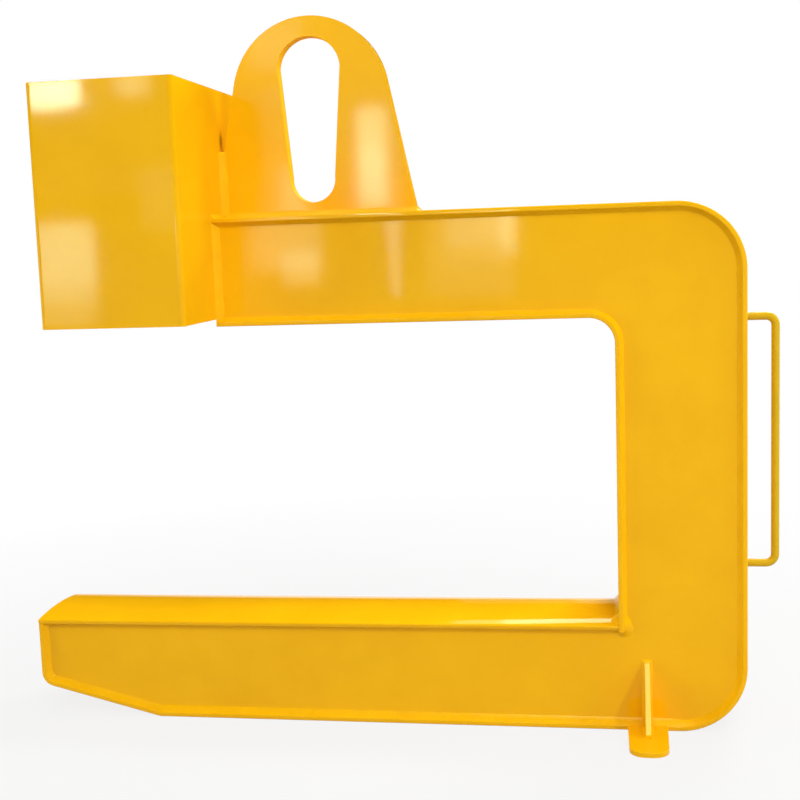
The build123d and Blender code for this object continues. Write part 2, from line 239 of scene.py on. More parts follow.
def addBox(bm, low, high):
    corners = bmesh.ops.create_cube(bm, size=1.0)["verts"]
    bmesh.ops.scale(bm, vec=high - low, verts=corners)
    bmesh.ops.translate(bm, vec=(low + high) / 2, verts=corners)


def boxMesh(low, high):
    bm = bmesh.new()
    addBox(bm, low, high)
    return bm


def roundEdges(bm, edges, radius, steps):
    bmesh.ops.bevel(bm, geom=edges, offset=radius, segments=steps, profile=0.5,
                    affect="EDGES", material=-1, clamp_overlap=True)


def roundCorners(bm, corners, radius, steps):
    bmesh.ops.bevel(bm, geom=corners, offset=radius, segments=steps, profile=0.5,
                    affect="VERTICES", material=-1)


def runsAlong(edge, axis):
    # axis 0, 1 or 2 stands for x, y or z
    reach = edge.verts[1].co - edge.verts[0].co
    return abs(reach[axis]) > alongShare * reach.length


def mirrorAcross(bm):
    bmesh.ops.scale(bm, vec=(1, -1, 1), verts=bm.verts)


def pushFaces(bm, faces, reach):
    made = bmesh.ops.extrude_face_region(bm, geom=faces)["geom"]
    bmesh.ops.translate(bm, vec=reach, verts=pickKind(made, bmesh.types.BMVert))
    return pickKind(made, bmesh.types.BMFace)


def bendFaces(bm, faces, centre, angle, steps):
    geom = list({part for face in faces for part in (*face.verts, *face.edges, face)})
    made = bmesh.ops.spin(bm, geom=geom, cent=centre, axis=acrossAxis, angle=angle, steps=steps)
    return pickKind(made["geom_last"], bmesh.types.BMFace)


def cutOff(bm, planeX, outward):
    # takes away what lies beyond an upright plane and closes the cut
    geom = bm.verts[:] + bm.edges[:] + bm.faces[:]
    cut = bmesh.ops.bisect_plane(bm, geom=geom, plane_co=(planeX, 0, 0), plane_no=(outward, 0, 0),
                                 clear_outer=True)["geom_cut"]
    bmesh.ops.holes_fill(bm, edges=pickKind(cut, bmesh.types.BMEdge), sides=0)


# a pen that draws an outline vertex by vertex, with straight runs and arcs
class Pen:
    def __init__(self, bm, start):
        self.bm = bm
        self.first = self.last = bmesh.ops.create_vert(bm, co=start)["vert"][0]

    def line(self, place):
        made = bmesh.ops.extrude_vert_indiv(self.bm, verts=[self.last])["verts"]
        self.last = made[0]
        self.last.co = place

    def arc(self, centre, axis, angle, steps):
        made = bmesh.ops.spin(self.bm, geom=[self.last], cent=centre, axis=axis, angle=angle, steps=steps)
        self.last = pickKind(made["geom_last"], bmesh.types.BMVert)[0]

    def close(self):
        bmesh.ops.contextual_create(self.bm, geom=[self.last, self.first])
        return bmesh.ops.contextual_create(self.bm, geom=self.bm.edges[:])["faces"]


# flanges: strips with their long edges eased
flangeLook = {"edgeRadius": 0.0024, "edgeSteps": 4, "bendSteps": 28}

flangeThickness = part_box("top_flange")[1].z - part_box("top_flange")[0].z
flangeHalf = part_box("top_flange")[1].y


def straightFlange(node):
    low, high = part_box(node)
    lengthAxis = 0 if high.x - low.x > high.z - low.z else 2
    bm = boxMesh(low, high)
    roundEdges(bm, [edge for edge in bm.edges if runsAlong(edge, lengthAxis)],
               flangeLook["edgeRadius"], flangeLook["edgeSteps"])
    finishPlate(bm, node + "_strip", node)


def stripSection(centre, columns=1):
    # level cross-section of a flange that stands upright there
    bm = bmesh.new()
    bmesh.ops.create_grid(bm, x_segments=1, y_segments=columns, size=0.5)  # 1 m square
    bmesh.ops.scale(bm, vec=(flangeThickness, 2 * flangeHalf, 1), verts=bm.verts)
    corners = [vert for vert in bm.verts if abs(vert.co.y) > flangeHalf - touchGap]
    roundCorners(bm, corners, flangeLook["edgeRadius"], flangeLook["edgeSteps"])
    bmesh.ops.translate(bm, vec=centre, verts=bm.verts)
    return bm


def bentFlange(node, centre, angle):
    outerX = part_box(node)[1].x
    bm = stripSection(Vector((outerX - flangeThickness / 2, 0, centre.z)))
    bendFaces(bm, bm.faces[:], centre, angle, flangeLook["bendSteps"])
    finishPlate(bm, node + "_bend", node)


for nodeName in ("top_flange", "back_flange", "bottom_flange", "throat_top_flange", "throat_back_flange"):
    straightFlange(nodeName)

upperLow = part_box("upper_corner_flange")[0]
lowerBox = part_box("lower_corner_flange")
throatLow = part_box("throat_corner_flange")[0]
upperCentre = Vector((upperLow.x, 0, upperLow.z))
lowerCentre = Vector((lowerBox[0].x, 0, lowerBox[1].z))
throatCentre = Vector((throatLow.x, 0, throatLow.z))
bentFlange("upper_corner_flange", upperCentre, -quarterTurn)
bentFlange("lower_corner_flange", lowerCentre, quarterTurn)
bentFlange("throat_corner_flange", throatCentre, -quarterTurn)
print("flanges made")


# saddle: crowned plate that falls and flattens towards the nose, its side edges square to the crown
saddleLook = {
    "nose": {"radius": 0.700, "sideZ": 0.2045},
    "mast": {"radius": 0.300, "sideZ": 0.2100},
    "thickness": 0.008,
    "arcSteps": 40,
    "lengthCuts": 30,
    "edgeRadius": 0.003,
    "edgeSteps": 5,
}
saddleLow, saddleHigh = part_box("saddle_plate")


def crownAxisZ(end):
    return saddleLook[end]["sideZ"] - math.sqrt(saddleLook[end]["radius"]**2 - flangeHalf**2)


def underSaddleZ(end, y):
    return crownAxisZ(end) + math.sqrt((saddleLook[end]["radius"] - saddleLook["thickness"])**2 - y**2)


def saddleRing(bm, endX, end):
    # closed outline of the plate's end: top arc, side, lower arc, side
    radius = saddleLook[end]["radius"]
    axisPoint = Vector((endX, 0, crownAxisZ(end)))
    halfAngle = math.asin(flangeHalf / radius)
    toSide = Vector((0, -math.sin(halfAngle), math.cos(halfAngle)))
    before = set(bm.edges)
    pens = []
    for arcRadius in (radius, radius - saddleLook["thickness"]):
        pen = Pen(bm, axisPoint + toSide * arcRadius)
        pen.arc(axisPoint, alongAxis, -2 * halfAngle, saddleLook["arcSteps"])
        pens.append(pen)
    top, bottom = pens
    bmesh.ops.contextual_create(bm, geom=[top.first, bottom.first])
    bmesh.ops.contextual_create(bm, geom=[top.last, bottom.last])
    return [edge for edge in bm.edges if edge not in before]


bm = bmesh.new()
noseRing = saddleRing(bm, saddleLow.x, "nose")
mastRing = saddleRing(bm, saddleHigh.x, "mast")
bmesh.ops.bridge_loops(bm, edges=noseRing + mastRing)
ringEdges = set(noseRing + mastRing)
longEdges = [edge for edge in bm.edges if edge not in ringEdges]
for ring in (noseRing, mastRing):
    bmesh.ops.contextual_create(bm, geom=ring)
topCorners = [edge for edge in longEdges
              if all(abs(vert.co.y) > flangeHalf - touchGap for vert in edge.verts)]
roundEdges(bm, topCorners, saddleLook["edgeRadius"], saddleLook["edgeSteps"])
halfLength = (saddleHigh.x - saddleLow.x) / 2
alongEdges = [edge for edge in bm.edges if edge.calc_length() > halfLength]
bmesh.ops.subdivide_edges(bm, edges=alongEdges, cuts=saddleLook["lengthCuts"], use_grid_fill=True)
finishPlate(bm, "saddle_crown", "saddle_plate")

# nose flange: down the blunt front, round the bend and back along the ramp
noseLook = {"rampRise": 0.066, "bendRadius": 0.030, "columns": 28, "bendSteps": 14, "overrun": 0.006}
noseLow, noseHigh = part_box("nose_flange")
rampRun = Vector((noseHigh.x - noseLow.x, 0, -noseLook["rampRise"]))
rampTurn = math.acos(-rampRun.normalized().z)
bendTrim = noseLook["bendRadius"] * math.tan(rampTurn / 2)
bendCentre = Vector((noseLow.x + noseLook["bendRadius"], 0, noseLook["rampRise"] + bendTrim))
topZ = noseHigh.z
bm = stripSection(Vector((noseLow.x + flangeThickness / 2, 0, topZ)), noseLook["columns"])
topVerts = bm.verts[:]
ending = pushFaces(bm, bm.faces[:], Vector((0, 0, bendCentre.z - topZ)))
ending = bendFaces(bm, ending, bendCentre, -rampTurn, noseLook["bendSteps"])
rampLength = rampRun.length - bendTrim + noseLook["overrun"]
pushFaces(bm, ending, rampRun.normalized() * rampLength)
for vert in topVerts:
    vert.co.z = underSaddleZ("nose", vert.co.y)
cutOff(bm, noseHigh.x, 1)
finishPlate(bm, "nose_bend", "nose_flange")
print("saddle and nose made")

# lug: half of it is drawn, mirrored and cut off at the counterweight
lugLook = {
    "topRadius": 0.158,
    "eyeTopRadius": 0.064,
    "eyeBottomRadius": 0.046,
    "eyeLength": 0.326,
    "eyeBaseGap": 0.026,
    "footZ": 0.0025,
    "rimRadius": 0.003,
    "rimSteps": 3,
    "rimAngle": 1.0,  # sharper edges than this are rounded, in radians
    "wallTilt": 0.2,  # faces that lean less than this belong to the eye's wall
    "arcSteps": 40,
}
lugLow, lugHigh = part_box("lug_plate")
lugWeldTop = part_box("lug_welds")[1].z
lugCentre = Vector((0, lugLow.y, lugHigh.z - lugLook["topRadius"]))
lugFoot = Vector((lugHigh.x, lugLow.y, lugLow.z + lugLook["footZ"]))
footReach = lugFoot - lugCentre
edgeStart = math.atan2(footReach.z, footReach.x) + math.acos(lugLook["topRadius"] / footReach.length)
eyeLowZ = lugLow.z + lugLook["eyeBaseGap"]
eyeHighZ = eyeLowZ + lugLook["eyeLength"]
eyeLowCentre = Vector((0, lugLow.y, eyeLowZ + lugLook["eyeBottomRadius"]))
eyeHighCentre = Vector((0, lugLow.y, eyeHighZ - lugLook["eyeTopRadius"]))
eyeWidening = lugLook["eyeTopRadius"] - lugLook["eyeBottomRadius"]
eyeFlare = math.asin(eyeWidening / (eyeHighCentre.z - eyeLowCentre.z))


def onLugRim(edge):
    # a sharp edge of the front or rear face, above the foot
    lyingFlat = abs(edge.verts[0].co.y - edge.verts[1].co.y) < mergeGap
    sharp = edge.calc_face_angle(0) > lugLook["rimAngle"]
    return lyingFlat and sharp and max(vert.co.z for vert in edge.verts) > lugFoot.z + touchGap


bm = bmesh.new()
pen = Pen(bm, (0, lugLow.y, lugHigh.z))
pen.arc(lugCentre, acrossAxis, quarterTurn - edgeStart, lugLook["arcSteps"])
pen.line(lugFoot)
pen.line((lugHigh.x, lugLow.y, lugLow.z))
pen.line((0, lugLow.y, lugLow.z))
pen.line((0, lugLow.y, eyeLowZ))
pen.arc(eyeLowCentre, acrossAxis, -quarterTurn - eyeFlare, lugLook["arcSteps"] // 2)
pen.line(eyeHighCentre + lugLook["eyeTopRadius"] * Vector((math.cos(eyeFlare), 0, math.sin(eyeFlare))))
pen.arc(eyeHighCentre, acrossAxis, eyeFlare - quarterTurn, lugLook["arcSteps"] // 2)
pen.close()
bmesh.ops.mirror(bm, geom=bm.verts[:] + bm.edges[:] + bm.faces[:], axis="X", merge_dist=mergeGap)
bmesh.ops.recalc_face_normals(bm, faces=bm.faces)
pushFaces(bm, bm.faces[:], Vector((0, lugHigh.y - lugLow.y, 0)))
lugRim = [edge for edge in bm.edges if onLugRim(edge)]
roundEdges(bm, lugRim, lugLook["rimRadius"], lugLook["rimSteps"])
cutOff(bm, lugLow.x, -1)
bm.normal_update()
for face in bm.faces:
    middle = face.calc_center_median()
    inEye = abs(middle.x) < lugLook["eyeTopRadius"] and eyeLowZ < middle.z < eyeHighZ
    if inEye and abs(face.normal.y) < lugLook["wallTilt"]:
        face.material_index = 1
lugPiece = finishPlate(bm, "lug_with_eye", "lug_plate")
lugPiece.data.materials.append(wallPaint)
print("lug made")

# counterweight: front and rear plates wrap the corners, the rest sit between them
boxLook = {"cornerRadius": 0.0095, "cornerSteps": 8, "edgeRadius": 0.0015, "edgeSteps": 2}
boxPlates = ("front", "rear", "outer", "inner", "top", "bottom")
boxLow = Vector(map(min, zip(*(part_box(f"counterweight_{side}_plate")[0] for side in boxPlates))))
boxHigh = Vector(map(max, zip(*(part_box(f"counterweight_{side}_plate")[1] for side in boxPlates))))


def onBoxEdge(edge):
    # true where two outer faces of the box meet
    touching = 0
    for axis in range(3):
        for limit in (boxLow[axis], boxHigh[axis]):
            touching += all(abs(vert.co[axis] - limit) < touchGap for vert in edge.verts)
    return touching == 2


# painted shade in the cleft between lug and box, above the upright bead: a dark patch on the inner plate
# stands in for the shadow in the gap
cleftShadeLook = {
    "colour": (0.41, 0.19, 0.001, 1),
    "inset": 0.007,
    "rise": 0.023,
    "reachY": 0.014,
    "reachZ": 0.0225,
    "soft": (0.25, 1.0),
}


# mixes a dark colour into the paint round one spot: painted shade
def addCleftShade(material, look):
    tree = material.node_tree
    coat = tree.nodes["Principled BSDF"].inputs["Base Color"]
    centre = (0, lugLow.y + look["inset"], lugWeldTop + look["rise"])
    spot = addNode(tree, "ShaderNodeTexCoord").outputs["Object"]
    spot = vectorMathOf(tree, "SUBTRACT", spot, centre)["Vector"]
    spot = vectorMathOf(tree, "MULTIPLY", spot, (0, 1 / look["reachY"], 1 / look["reachZ"]))["Vector"]
    away = vectorMathOf(tree, "LENGTH", spot)["Value"]
    # 1 at the spot, 0 away from it: where the painted shade goes
    shadeMask = rangeOf(tree, away, *look["soft"], 1.0, 0.0)
    inputs = {"Fac": shadeMask, "Color1": coat.links[0].from_socket, "Color2": look["colour"]}
    tree.links.new(addNode(tree, "ShaderNodeMixRGB", inputs).outputs["Color"], coat)


# paint of the inner plate, carrying the cleft's painted shade
cleftShadePaint = makePaint("cleftShadePaint", platePaint)
addCleftShade(cleftShadePaint, cleftShadeLook)

for side in boxPlates:
    nodeName = f"counterweight_{side}_plate"
    bm = boxMesh(*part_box(nodeName))
    roundEdges(bm, [edge for edge in bm.edges if onBoxEdge(edge) and runsAlong(edge, 2)],
               boxLook["cornerRadius"], boxLook["cornerSteps"])
    roundEdges(bm, [edge for edge in bm.edges if onBoxEdge(edge) and not runsAlong(edge, 2)],
               boxLook["edgeRadius"], boxLook["edgeSteps"])
    finishPlate(bm, f"box_{side}", nodeName, cleftShadePaint if side == "inner" else yellowPaint)
print("counterweight made")

# handle: round bar with two bends
handleLook = {"bendRadius": 0.018, "sides": 28, "bendSteps": 12}
handleLow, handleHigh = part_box("handle")
barRadius = handleHigh.y
barX = handleHigh.x - barRadius
legLowZ = handleLow.z + barRadius
legHighZ = handleHigh.z - barRadius
bend = handleLook["bendRadius"]
legStart = Matrix.Translation((handleLow.x, 0, legLowZ)) @ Matrix.Rotation(quarterTurn, 4, "Y")
bm = bmesh.new()
bmesh.ops.create_circle(bm, cap_ends=True, segments=handleLook["sides"], radius=barRadius, matrix=legStart)
ending = pushFaces(bm, bm.faces[:], Vector((barX - bend - handleLow.x, 0, 0)))
ending = bendFaces(bm, ending, (barX - bend, 0, legLowZ + bend), -quarterTurn, handleLook["bendSteps"])
ending = pushFaces(bm, ending, Vector((0, 0, legHighZ - legLowZ - 2 * bend)))
ending = bendFaces(bm, ending, (barX - bend, 0, legHighZ - bend), -quarterTurn, handleLook["bendSteps"])
pushFaces(bm, ending, Vector((handleLow.x - barX + bend, 0, 0)))
# the bar takes the darker copy of the paint: painted shade
finishPlate(bm, "handle_bar", "handle", shadedHandlePaint)
print("handle made")

# feet and gussets, the rear ones mirrored
footLook = {
    "frontRatio": 74 / 78,  # its free end is a little narrower
    "cornerRadius": 0.030,
    "cornerSteps": 8,
    "edgeRadius": 0.0018,
    "edgeSteps": 3,
}
gussetLook = {"land": 0.006, "snipe": 0.010, "edgeRadius": 0.0016, "edgeSteps": 3}


def makeFoot(node, mirrored):
    low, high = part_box("front_foot")
    centre = (low + high) / 2
    bm = bmesh.new()
    bmesh.ops.create_grid(bm, x_segments=1, y_segments=1, size=0.5)  # 1 m square
    bmesh.ops.scale(bm, vec=(high.x - low.x, high.y - low.y, 1), verts=bm.verts)
    front = [vert for vert in bm.verts if vert.co.y < 0]
    bmesh.ops.scale(bm, vec=(footLook["frontRatio"], 1, 1), verts=front)
    roundCorners(bm, front, footLook["cornerRadius"], footLook["cornerSteps"])
    bmesh.ops.translate(bm, vec=(centre.x, centre.y, low.z), verts=bm.verts)
    top = pushFaces(bm, bm.faces[:], Vector((0, 0, high.z - low.z)))
    rim = [edge for face in top for edge in face.edges
           if min(vert.co.y for vert in edge.verts) < high.y - touchGap]
    roundEdges(bm, rim, footLook["edgeRadius"], footLook["edgeSteps"])
    if mirrored:
        mirrorAcross(bm)
    finishPlate(bm, node + "_bar", node)


def makeGusset(node, mirrored):
    low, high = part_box("front_foot_gusset")
    land, snipe = gussetLook["land"], gussetLook["snipe"]
    bm = bmesh.new()
    pen = Pen(bm, (low.x, high.y, low.z + snipe))
    pen.line((low.x, high.y, high.z))
    pen.line((low.x, high.y - land, high.z))
    pen.line((low.x, low.y, low.z + land))
    pen.line((low.x, low.y, low.z))
    pen.line((low.x, high.y - snipe, low.z))
    pushFaces(bm, pen.close(), Vector((high.x - low.x, 0, 0)))
    free = [edge for edge in bm.edges
            if all(vert.co.y < high.y - land / 2 and vert.co.z > low.z + land / 2 for vert in edge.verts)]
    roundEdges(bm, free, gussetLook["edgeRadius"], gussetLook["edgeSteps"])
    if mirrored:
        mirrorAcross(bm)
    finishPlate(bm, node + "_rib", node)


for end, mirrored in (("front", False), ("rear", True)):
    makeFoot(f"{end}_foot", mirrored)
    makeGusset(f"{end}_foot_gusset", mirrored)
print("feet made")

# weld beads: a hollow fillet with crescent ripples, laid along a route of stations
weldLook = {
    "leg": 0.008,
    "pitch": 0.005,
    "step": 0.00125,
    "faceSteps": 7,
    "hollow": 0.25,  # 0 is a flat face, 1 meets both plates at a tangent
    "ripple": 0.035,
    "rippleHeights": (0.6, 1.0),
    "rippleMiddle": 0.5,
    "crescent": 0.45,
    "wander": 0.04,
    "wanderLengths": (0.09, 0.041),
    "wanderShift": 6.28,  # radians
    "endTaper": 0.006,
    "endSize": 0.6,
    "bury": 0.0008,
    "toeBury": 0.0002,
    "blend": 0.015,  # length over which one leg size runs into the next
    "leastTurn": 0.01,  # right turns from here on are walked as a fan
    "leastBends": 4,
}
weldRandom = random.Random(11)


def leftOf(heading):
    return Vector((-heading.y, heading.x))


def turned(vector, angle):
    return Matrix.Rotation(angle, 2) @ vector


def flatRoute(corners, step, closed):
    # walks along the corners, work on the left; gives points, ways into the work and the run's number
    count = len(corners)
    walk = []
    for index, (point, radius) in enumerate(corners):
        ahead = corners[(index + 1) % count][0] - point
        behind = point - corners[index - 1][0]
        if not closed and index == 0:
            behind = ahead
        if not closed and index == count - 1:
            ahead = behind
        heading, leaving = behind.normalized(), ahead.normalized()
        turn = math.atan2(heading.x * leaving.y - heading.y * leaving.x, heading.dot(leaving))
        inward = leftOf(heading)
        if radius or turn < -weldLook["leastTurn"]:
            side = math.copysign(1, turn)
            begin = point - heading * radius * math.tan(abs(turn) / 2)
            centre = begin + inward * radius * side
            bends = max(weldLook["leastBends"], round(abs(turn) * (radius + weldLook["leg"]) / step))
            for bendStep in range(bends + 1):
                normal = turned(inward, turn * bendStep / bends)
                walk.append((centre - normal * radius * side, normal, index))
        else:
            inner = leftOf(leaving)
            walk.append((point, (inward + inner) / (1 + inward.dot(inner)), index))
    stations = []
    ends = walk[1:] + walk[:1] if closed else walk[1:]
    for (start, startNormal, run), (end, endNormal, _) in zip(walk, ends):
        parts = max(1, round((end - start).length / step))
        for part in range(parts):
            share = part / parts
            normal = startNormal.lerp(endNormal, share)
            if parts > 2 and 0 < part:  # plain square section between two corners
                normal = leftOf((end - start).normalized())
            stations.append((start.lerp(end, share), normal, run))
    if not closed:
        stations.append(walk[-1])
    return stations


def onPlane(stations, origin, across, up, out):
    return [(origin + across * point.x + up * point.y, across * normal.x + up * normal.y, out)
            for point, normal, run in stations]


def straightRoute(start, end, axisA, axisB):
    steps = round((end - start).length / weldLook["step"])
    return [(start.lerp(end, index / steps), axisA, axisB) for index in range(steps + 1)]


def blendLegs(stations, runLegs):
    # leg sizes along a closed route, eased from each run to the next
    reach = round(weldLook["blend"] / weldLook["step"])
    sizes = [Vector(runLegs[run]) for point, normal, run in stations]
    span = 2 * reach + 1
    total = sum((sizes[index - reach] for index in range(span)), Vector((0, 0)))
    eased = []
    for index in range(len(sizes)):
        eased.append(total / span)
        total += sizes[(index + reach + 1) % len(sizes)] - sizes[index - reach]
    return eased


def filletRing():
    # root, then the face from toe to toe: place for legs of 1, depth sunk into the plates, share of ripple
    bury, toeBury = weldLook["bury"], weldLook["toeBury"]
    ring = [(0.0, 0.0, bury, bury, 0.0)]
    steps = weldLook["faceSteps"]
    for index in range(steps + 1):
        share = index / steps
        turn = quarterTurn * share
        a = share + weldLook["hollow"] * (1 - math.cos(turn) - share)
        b = 1 - share + weldLook["hollow"] * (share - math.sin(turn))
        sinkA = 0 if index else toeBury
        sinkB = 0 if index < steps else toeBury
        hump = 4 * share * (1 - share)  # 0 at the toes, 1 in the middle
        ring.append((a, b, sinkA, sinkB, hump))
    return ring


def layBead(bm, stations, legs, closed):
    ring = filletRing()
    columns = len(ring) + 1
    if not isinstance(legs, list):
        legs = [Vector((legs, legs))] * len(stations)
    rows = list(zip(stations, legs))
    if closed:
        rows.append(rows[0])
    middles = [origin + (axisA * leg.x + axisB * leg.y) / 2 for (origin, axisA, axisB), leg in rows]
    distances = [0.0]
    for here, there in zip(middles, middles[1:]):
        distances.append(distances[-1] + (there - here).length)
    total = distances[-1]
    ripples = max(1, round(total / weldLook["pitch"]))
    heights = [weldRandom.uniform(*weldLook["rippleHeights"]) for _ in range(ripples)]
    waves = [(weldRandom.uniform(0, weldLook["wanderShift"]), max(1, round(total / length)))
             for length in weldLook["wanderLengths"]]
    made = bmesh.ops.create_grid(bm, x_segments=len(ring), y_segments=len(rows) - 1, size=1.0)["verts"]
    for row, (((origin, axisA, axisB), leg), distance) in enumerate(zip(rows, distances)):
        swell = sum(math.sin(shift + 2 * math.pi * waveCount * distance / total)
                    for shift, waveCount in waves)
        scale = 1 + weldLook["wander"] * swell / 2
        if not closed:
            fade = min(distance, total - distance) / weldLook["endTaper"]
            grown = math.sin(quarterTurn * min(1, max(0, fade)))
            scale *= weldLook["endSize"] + (1 - weldLook["endSize"]) * grown
        for column in range(columns):
            a, b, sinkA, sinkB, hump = ring[column % len(ring)]
            phase = distance / total * ripples + hump * weldLook["crescent"]
            height = heights[int(phase) % ripples] * abs(math.sin(math.pi * phase))
            push = (leg.x + leg.y) / 2 * hump * weldLook["ripple"] * (height - weldLook["rippleMiddle"])
            reachA = a * leg.x * scale + push - sinkA
            reachB = b * leg.y * scale + push - sinkB
            made[row * columns + column].co = origin + axisA * reachA + axisB * reachB
    if not closed:
        bmesh.ops.remove_doubles(bm, verts=made, dist=mergeGap)
        bmesh.ops.holes_fill(bm, edges=[edge for edge in bm.edges if edge.is_boundary], sides=0)


def finishBeads(bm, name, node):
    finishPiece(bm, name, beadPaint, "weld_paint", node)


# web welds: one bead all round the inside of the flanges
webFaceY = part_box("front_web")[0].y
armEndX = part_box("top_flange")[0].x
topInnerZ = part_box("top_flange")[0].z
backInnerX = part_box("back_flange")[0].x
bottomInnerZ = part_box("bottom_flange")[1].z
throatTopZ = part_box("throat_top_flange")[1].z
throatBackLow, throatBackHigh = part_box("throat_back_flange")
cornerInner = backInnerX - upperCentre.x
throatInner = throatBackHigh.x - throatCentre.x
noseInnerX = noseLow.x + flangeThickness
rampHeading = Vector((rampRun.x, rampRun.z)).normalized()
rampPoint = Vector((noseHigh.x, 0)) + leftOf(rampHeading) * flangeThickness
kneeX = rampPoint.x + (bottomInnerZ - rampPoint.y) / rampHeading.y * rampHeading.x
noseCornerZ = rampPoint.y + (noseInnerX - rampPoint.x) / rampHeading.x * rampHeading.y
# corners of the route, bend radius there, and the bead's legs on the web and on the flange from there on
webRuns = [
    (Vector((armEndX, topInnerZ)), 0, (0.014, 0.012)),
    (Vector((armEndX, throatTopZ)), 0, (0.008, 0.0105)),
    (Vector((throatBackHigh.x, throatTopZ)), throatInner, (0.0065, 0.0105)),
    (Vector((throatBackHigh.x, throatBackLow.z)), 0, (0.0065, 0.009)),
    (Vector((throatBackLow.x, throatBackLow.z)), 0, (0.006, 0.008)),
    (Vector((throatBackLow.x, underSaddleZ("mast", webFaceY))), 0, (0.008, 0.0085)),
    (Vector((noseInnerX, underSaddleZ("nose", webFaceY))), 0, (0.008, 0.0105)),
    (Vector((noseInnerX, noseCornerZ)), noseLook["bendRadius"] - flangeThickness, (0.011, 0.0105)),
    (Vector((kneeX, bottomInnerZ)), 0, (0.012, 0.0105)),
    (Vector((backInnerX, bottomInnerZ)), cornerInner, (0.009, 0.0105)),
    (Vector((backInnerX, topInnerZ)), cornerInner, (0.008, 0.0105)),
]
webRoute = flatRoute([(point, radius) for point, radius, legs in webRuns], weldLook["step"], True)
webLegs = blendLegs(webRoute, [legs for point, radius, legs in webRuns])
webStations = onPlane(webRoute, acrossAxis * webFaceY, alongAxis, upAxis, -acrossAxis)

# smooth deposit on the front, where saddle, throat flange and web meet: place, height and reach
depositLook = {
    "centre": (0.603, -0.0875, 0.2100),
    "height": 0.0085,
    "depth": 0.002,
    "reachX": 0.0240,
    "reachZ": 0.0290,
    "taper": 0.30,  # how much narrower it is at its top
    "slant": 0.20,  # how far it drops towards the mast
    "flatness": 1.15,  # 1 is a plain bell, more widens its top
    "rings": 14,
    "sides": 48,
}


def addDeposit(bm, look):
    # bell-shaped mound: its profile is spun about an axis square to the web
    centre = Vector(look["centre"])
    before = set(bm.verts)
    pen = Pen(bm, centre - acrossAxis * look["height"])
    for ring in range(1, look["rings"] + 1):
        share = ring / look["rings"]
        height = look["height"] * (1 + math.cos(math.pi * share**look["flatness"])) / 2
        pen.line(centre + Vector((look["reachX"] * share, -height, 0)))
    pen.line(centre + acrossAxis * look["depth"])
    profile = [vert for vert in bm.verts if vert not in before]
    edges = list({edge for vert in profile for edge in vert.link_edges})
    bmesh.ops.spin(bm, geom=profile + edges, cent=centre, axis=acrossAxis, angle=2 * math.pi,
                   steps=look["sides"], use_merge=True)
    mound = [vert for vert in bm.verts if vert not in before]
    stretch = (1, 1, look["reachZ"] / look["reachX"])
    bmesh.ops.scale(bm, vec=stretch, space=Matrix.Translation(-centre), verts=mound)
    for vert in mound:
        offset = vert.co - centre
        offset.x *= 1 - look["taper"] * max(0, offset.z / look["reachZ"])
        offset.z -= look["slant"] * offset.x
        vert.co = centre + offset


for end, mirrored in (("front", False), ("rear", True)):
    bm = bmesh.new()
    layBead(bm, webStations, webLegs, True)
    if mirrored:
        mirrorAcross(bm)
    else:
        addDeposit(bm, depositLook)
    finishBeads(bm, f"{end}_web_bead", f"{end}_web_weld")
print("web beads made")

# lug beads: round the lug's foot, and up both sides where it meets the counterweight
lugWeld = {"leg": 0.010, "climbLeg": 0.0135, "overlap": 0.002, "fillerSpill": 0.001}
lugFootCorners = [
    (Vector((lugLow.x, lugHigh.y)), 0),
    (Vector((lugHigh.x, lugHigh.y)), 0),
    (Vector((lugHigh.x, lugLow.y)), 0),
    (Vector((lugLow.x, lugLow.y)), 0),
]
footRoute = flatRoute(lugFootCorners, weldLook["step"], False)
bm = bmesh.new()
layBead(bm, onPlane(footRoute, upAxis * lugLow.z, alongAxis, acrossAxis, upAxis), lugWeld["leg"], False)
for faceY, outward in ((lugLow.y, -1), (lugHigh.y, 1)):
    start = Vector((lugLow.x, faceY, lugLow.z))
    end = Vector((lugLow.x, faceY, lugWeldTop))
    layBead(bm, straightRoute(start, end, alongAxis, acrossAxis * outward), lugWeld["climbLeg"], False)
# filler between the two upright beads, over the lug's edge
spill = lugWeld["fillerSpill"]
fillerLow = Vector((lugLow.x, lugLow.y - spill, lugLow.z + (lugWeldTop - lugLow.z) / 2))
fillerHigh = Vector((lugLow.x + lugWeld["climbLeg"] - lugWeld["overlap"] / 2, lugHigh.y + spill,
                     lugWeldTop - lugWeld["overlap"]))
addBox(bm, fillerLow, fillerHigh)
finishBeads(bm, "lug_beads", "lug_welds")

# arm bead: across the top flange, on both sides of the lug
armLow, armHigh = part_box("arm_weld")
bm = bmesh.new()
for side in (-1, 1):
    endY = side * (lugHigh.y + lugWeld["leg"] - lugWeld["overlap"])
    start = Vector((armLow.x, side * armHigh.y, armLow.z))
    end = Vector((armLow.x, endY, armLow.z))
    layBead(bm, straightRoute(start, end, alongAxis, upAxis), weldLook["leg"], False)
finishBeads(bm, "arm_beads", "arm_weld")

# saddle bead: along the crowned end of the saddle, on the throat back flange
mastRadius = saddleLook["mast"]["radius"]
crownCentre = Vector((saddleHigh.x, 0, crownAxisZ("mast")))
saddleHalfAngle = math.asin(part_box("saddle_weld")[1].y / (mastRadius + weldLook["leg"]))
steps = round(2 * saddleHalfAngle * mastRadius / weldLook["step"])
arch = []
for index in range(steps + 1):
    angle = saddleHalfAngle * (2 * index / steps - 1)
    radial = Vector((0, math.sin(angle), math.cos(angle)))
    arch.append((crownCentre + radial * mastRadius, -alongAxis, radial))
bm = bmesh.new()
layBead(bm, arch, weldLook["leg"], False)
finishBeads(bm, "saddle_bead", "saddle_weld")

